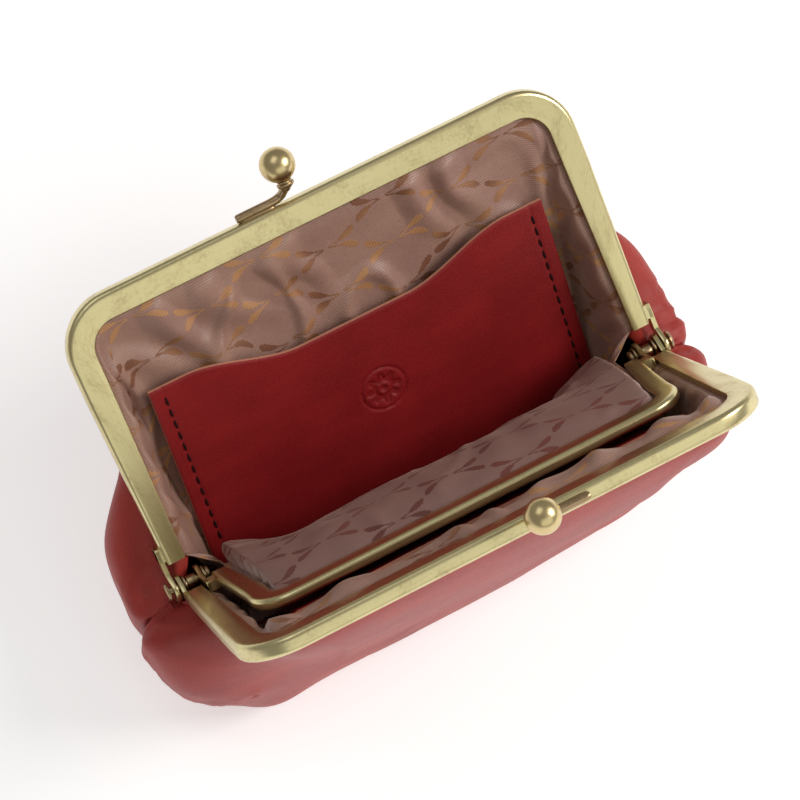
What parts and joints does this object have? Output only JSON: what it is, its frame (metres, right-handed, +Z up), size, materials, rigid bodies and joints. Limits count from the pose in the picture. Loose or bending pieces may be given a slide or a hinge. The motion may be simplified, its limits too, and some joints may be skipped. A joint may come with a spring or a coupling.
{
  "type": "clasp coin purse",
  "caption": "Leather coin purse standing open, with a ball-clasp metal frame, a middle divider frame and card pockets.",
  "frame": {"origin": "centre of the flat base, on the surface the purse stands on, under the hinge line", "axes": "+X along the hinge line, +Y towards the back half, +Z up"},
  "size_m": [0.1346, 0.1056, 0.102],
  "materials": {
    "antique_brass": "satin",
    "dark_brass": "satin",
    "red_leather": "satin",
    "pocket_leather": "satin",
    "jacquard_lining": "satin",
    "paper_cord": "matte"
  },
  "bodies": {
    "bag": {"leather_pouch": "red_leather", "lining_gusset_left": "jacquard_lining", "lining_gusset_right": "jacquard_lining", "rivet_left": "dark_brass", "outer_washer_left": "dark_brass", "spacer_left": "dark_brass", "inner_washer_left": "dark_brass", "rivet_right": "dark_brass", "outer_washer_right": "dark_brass", "spacer_right": "dark_brass", "inner_washer_right": "dark_brass"},
    "back_half": {"back_frame": "antique_brass", "back_knob_arm": "antique_brass", "back_knob_ball": "antique_brass", "back_paper_cord": "paper_cord", "leather_back_panel": "red_leather", "lining_back_panel": "jacquard_lining", "back_card_pocket": "pocket_leather"},
    "front_half": {"front_frame": "antique_brass", "front_knob_arm": "antique_brass", "front_knob_ball": "antique_brass", "front_paper_cord": "paper_cord", "leather_front_panel": "red_leather", "lining_front_panel": "jacquard_lining", "front_card_pocket": "pocket_leather"},
    "middle_half": {"middle_frame": "antique_brass", "middle_paper_cord": "paper_cord", "divider": "jacquard_lining"}
  },
  "joints": [
    {"name": "back_hinge", "type": "hinge", "parent": "bag", "child": "back_half", "pos_m": [0, 0, 0.038], "axis": [1, 0, 0], "range_deg": [0, 51.5]},
    {"name": "front_hinge", "type": "hinge", "parent": "bag", "child": "front_half", "pos_m": [0, 0, 0.038], "axis": [-1, 0, 0], "range_deg": [0, 35]},
    {"name": "middle_hinge", "type": "hinge", "parent": "bag", "child": "middle_half", "pos_m": [0, 0, 0.038], "axis": [-1, 0, 0], "range_deg": [0, 36.5]}
  ],
  "couplings": [
    {"joint": "middle_hinge", "follows": "front_hinge", "ratio": 1.0429}
  ]
}
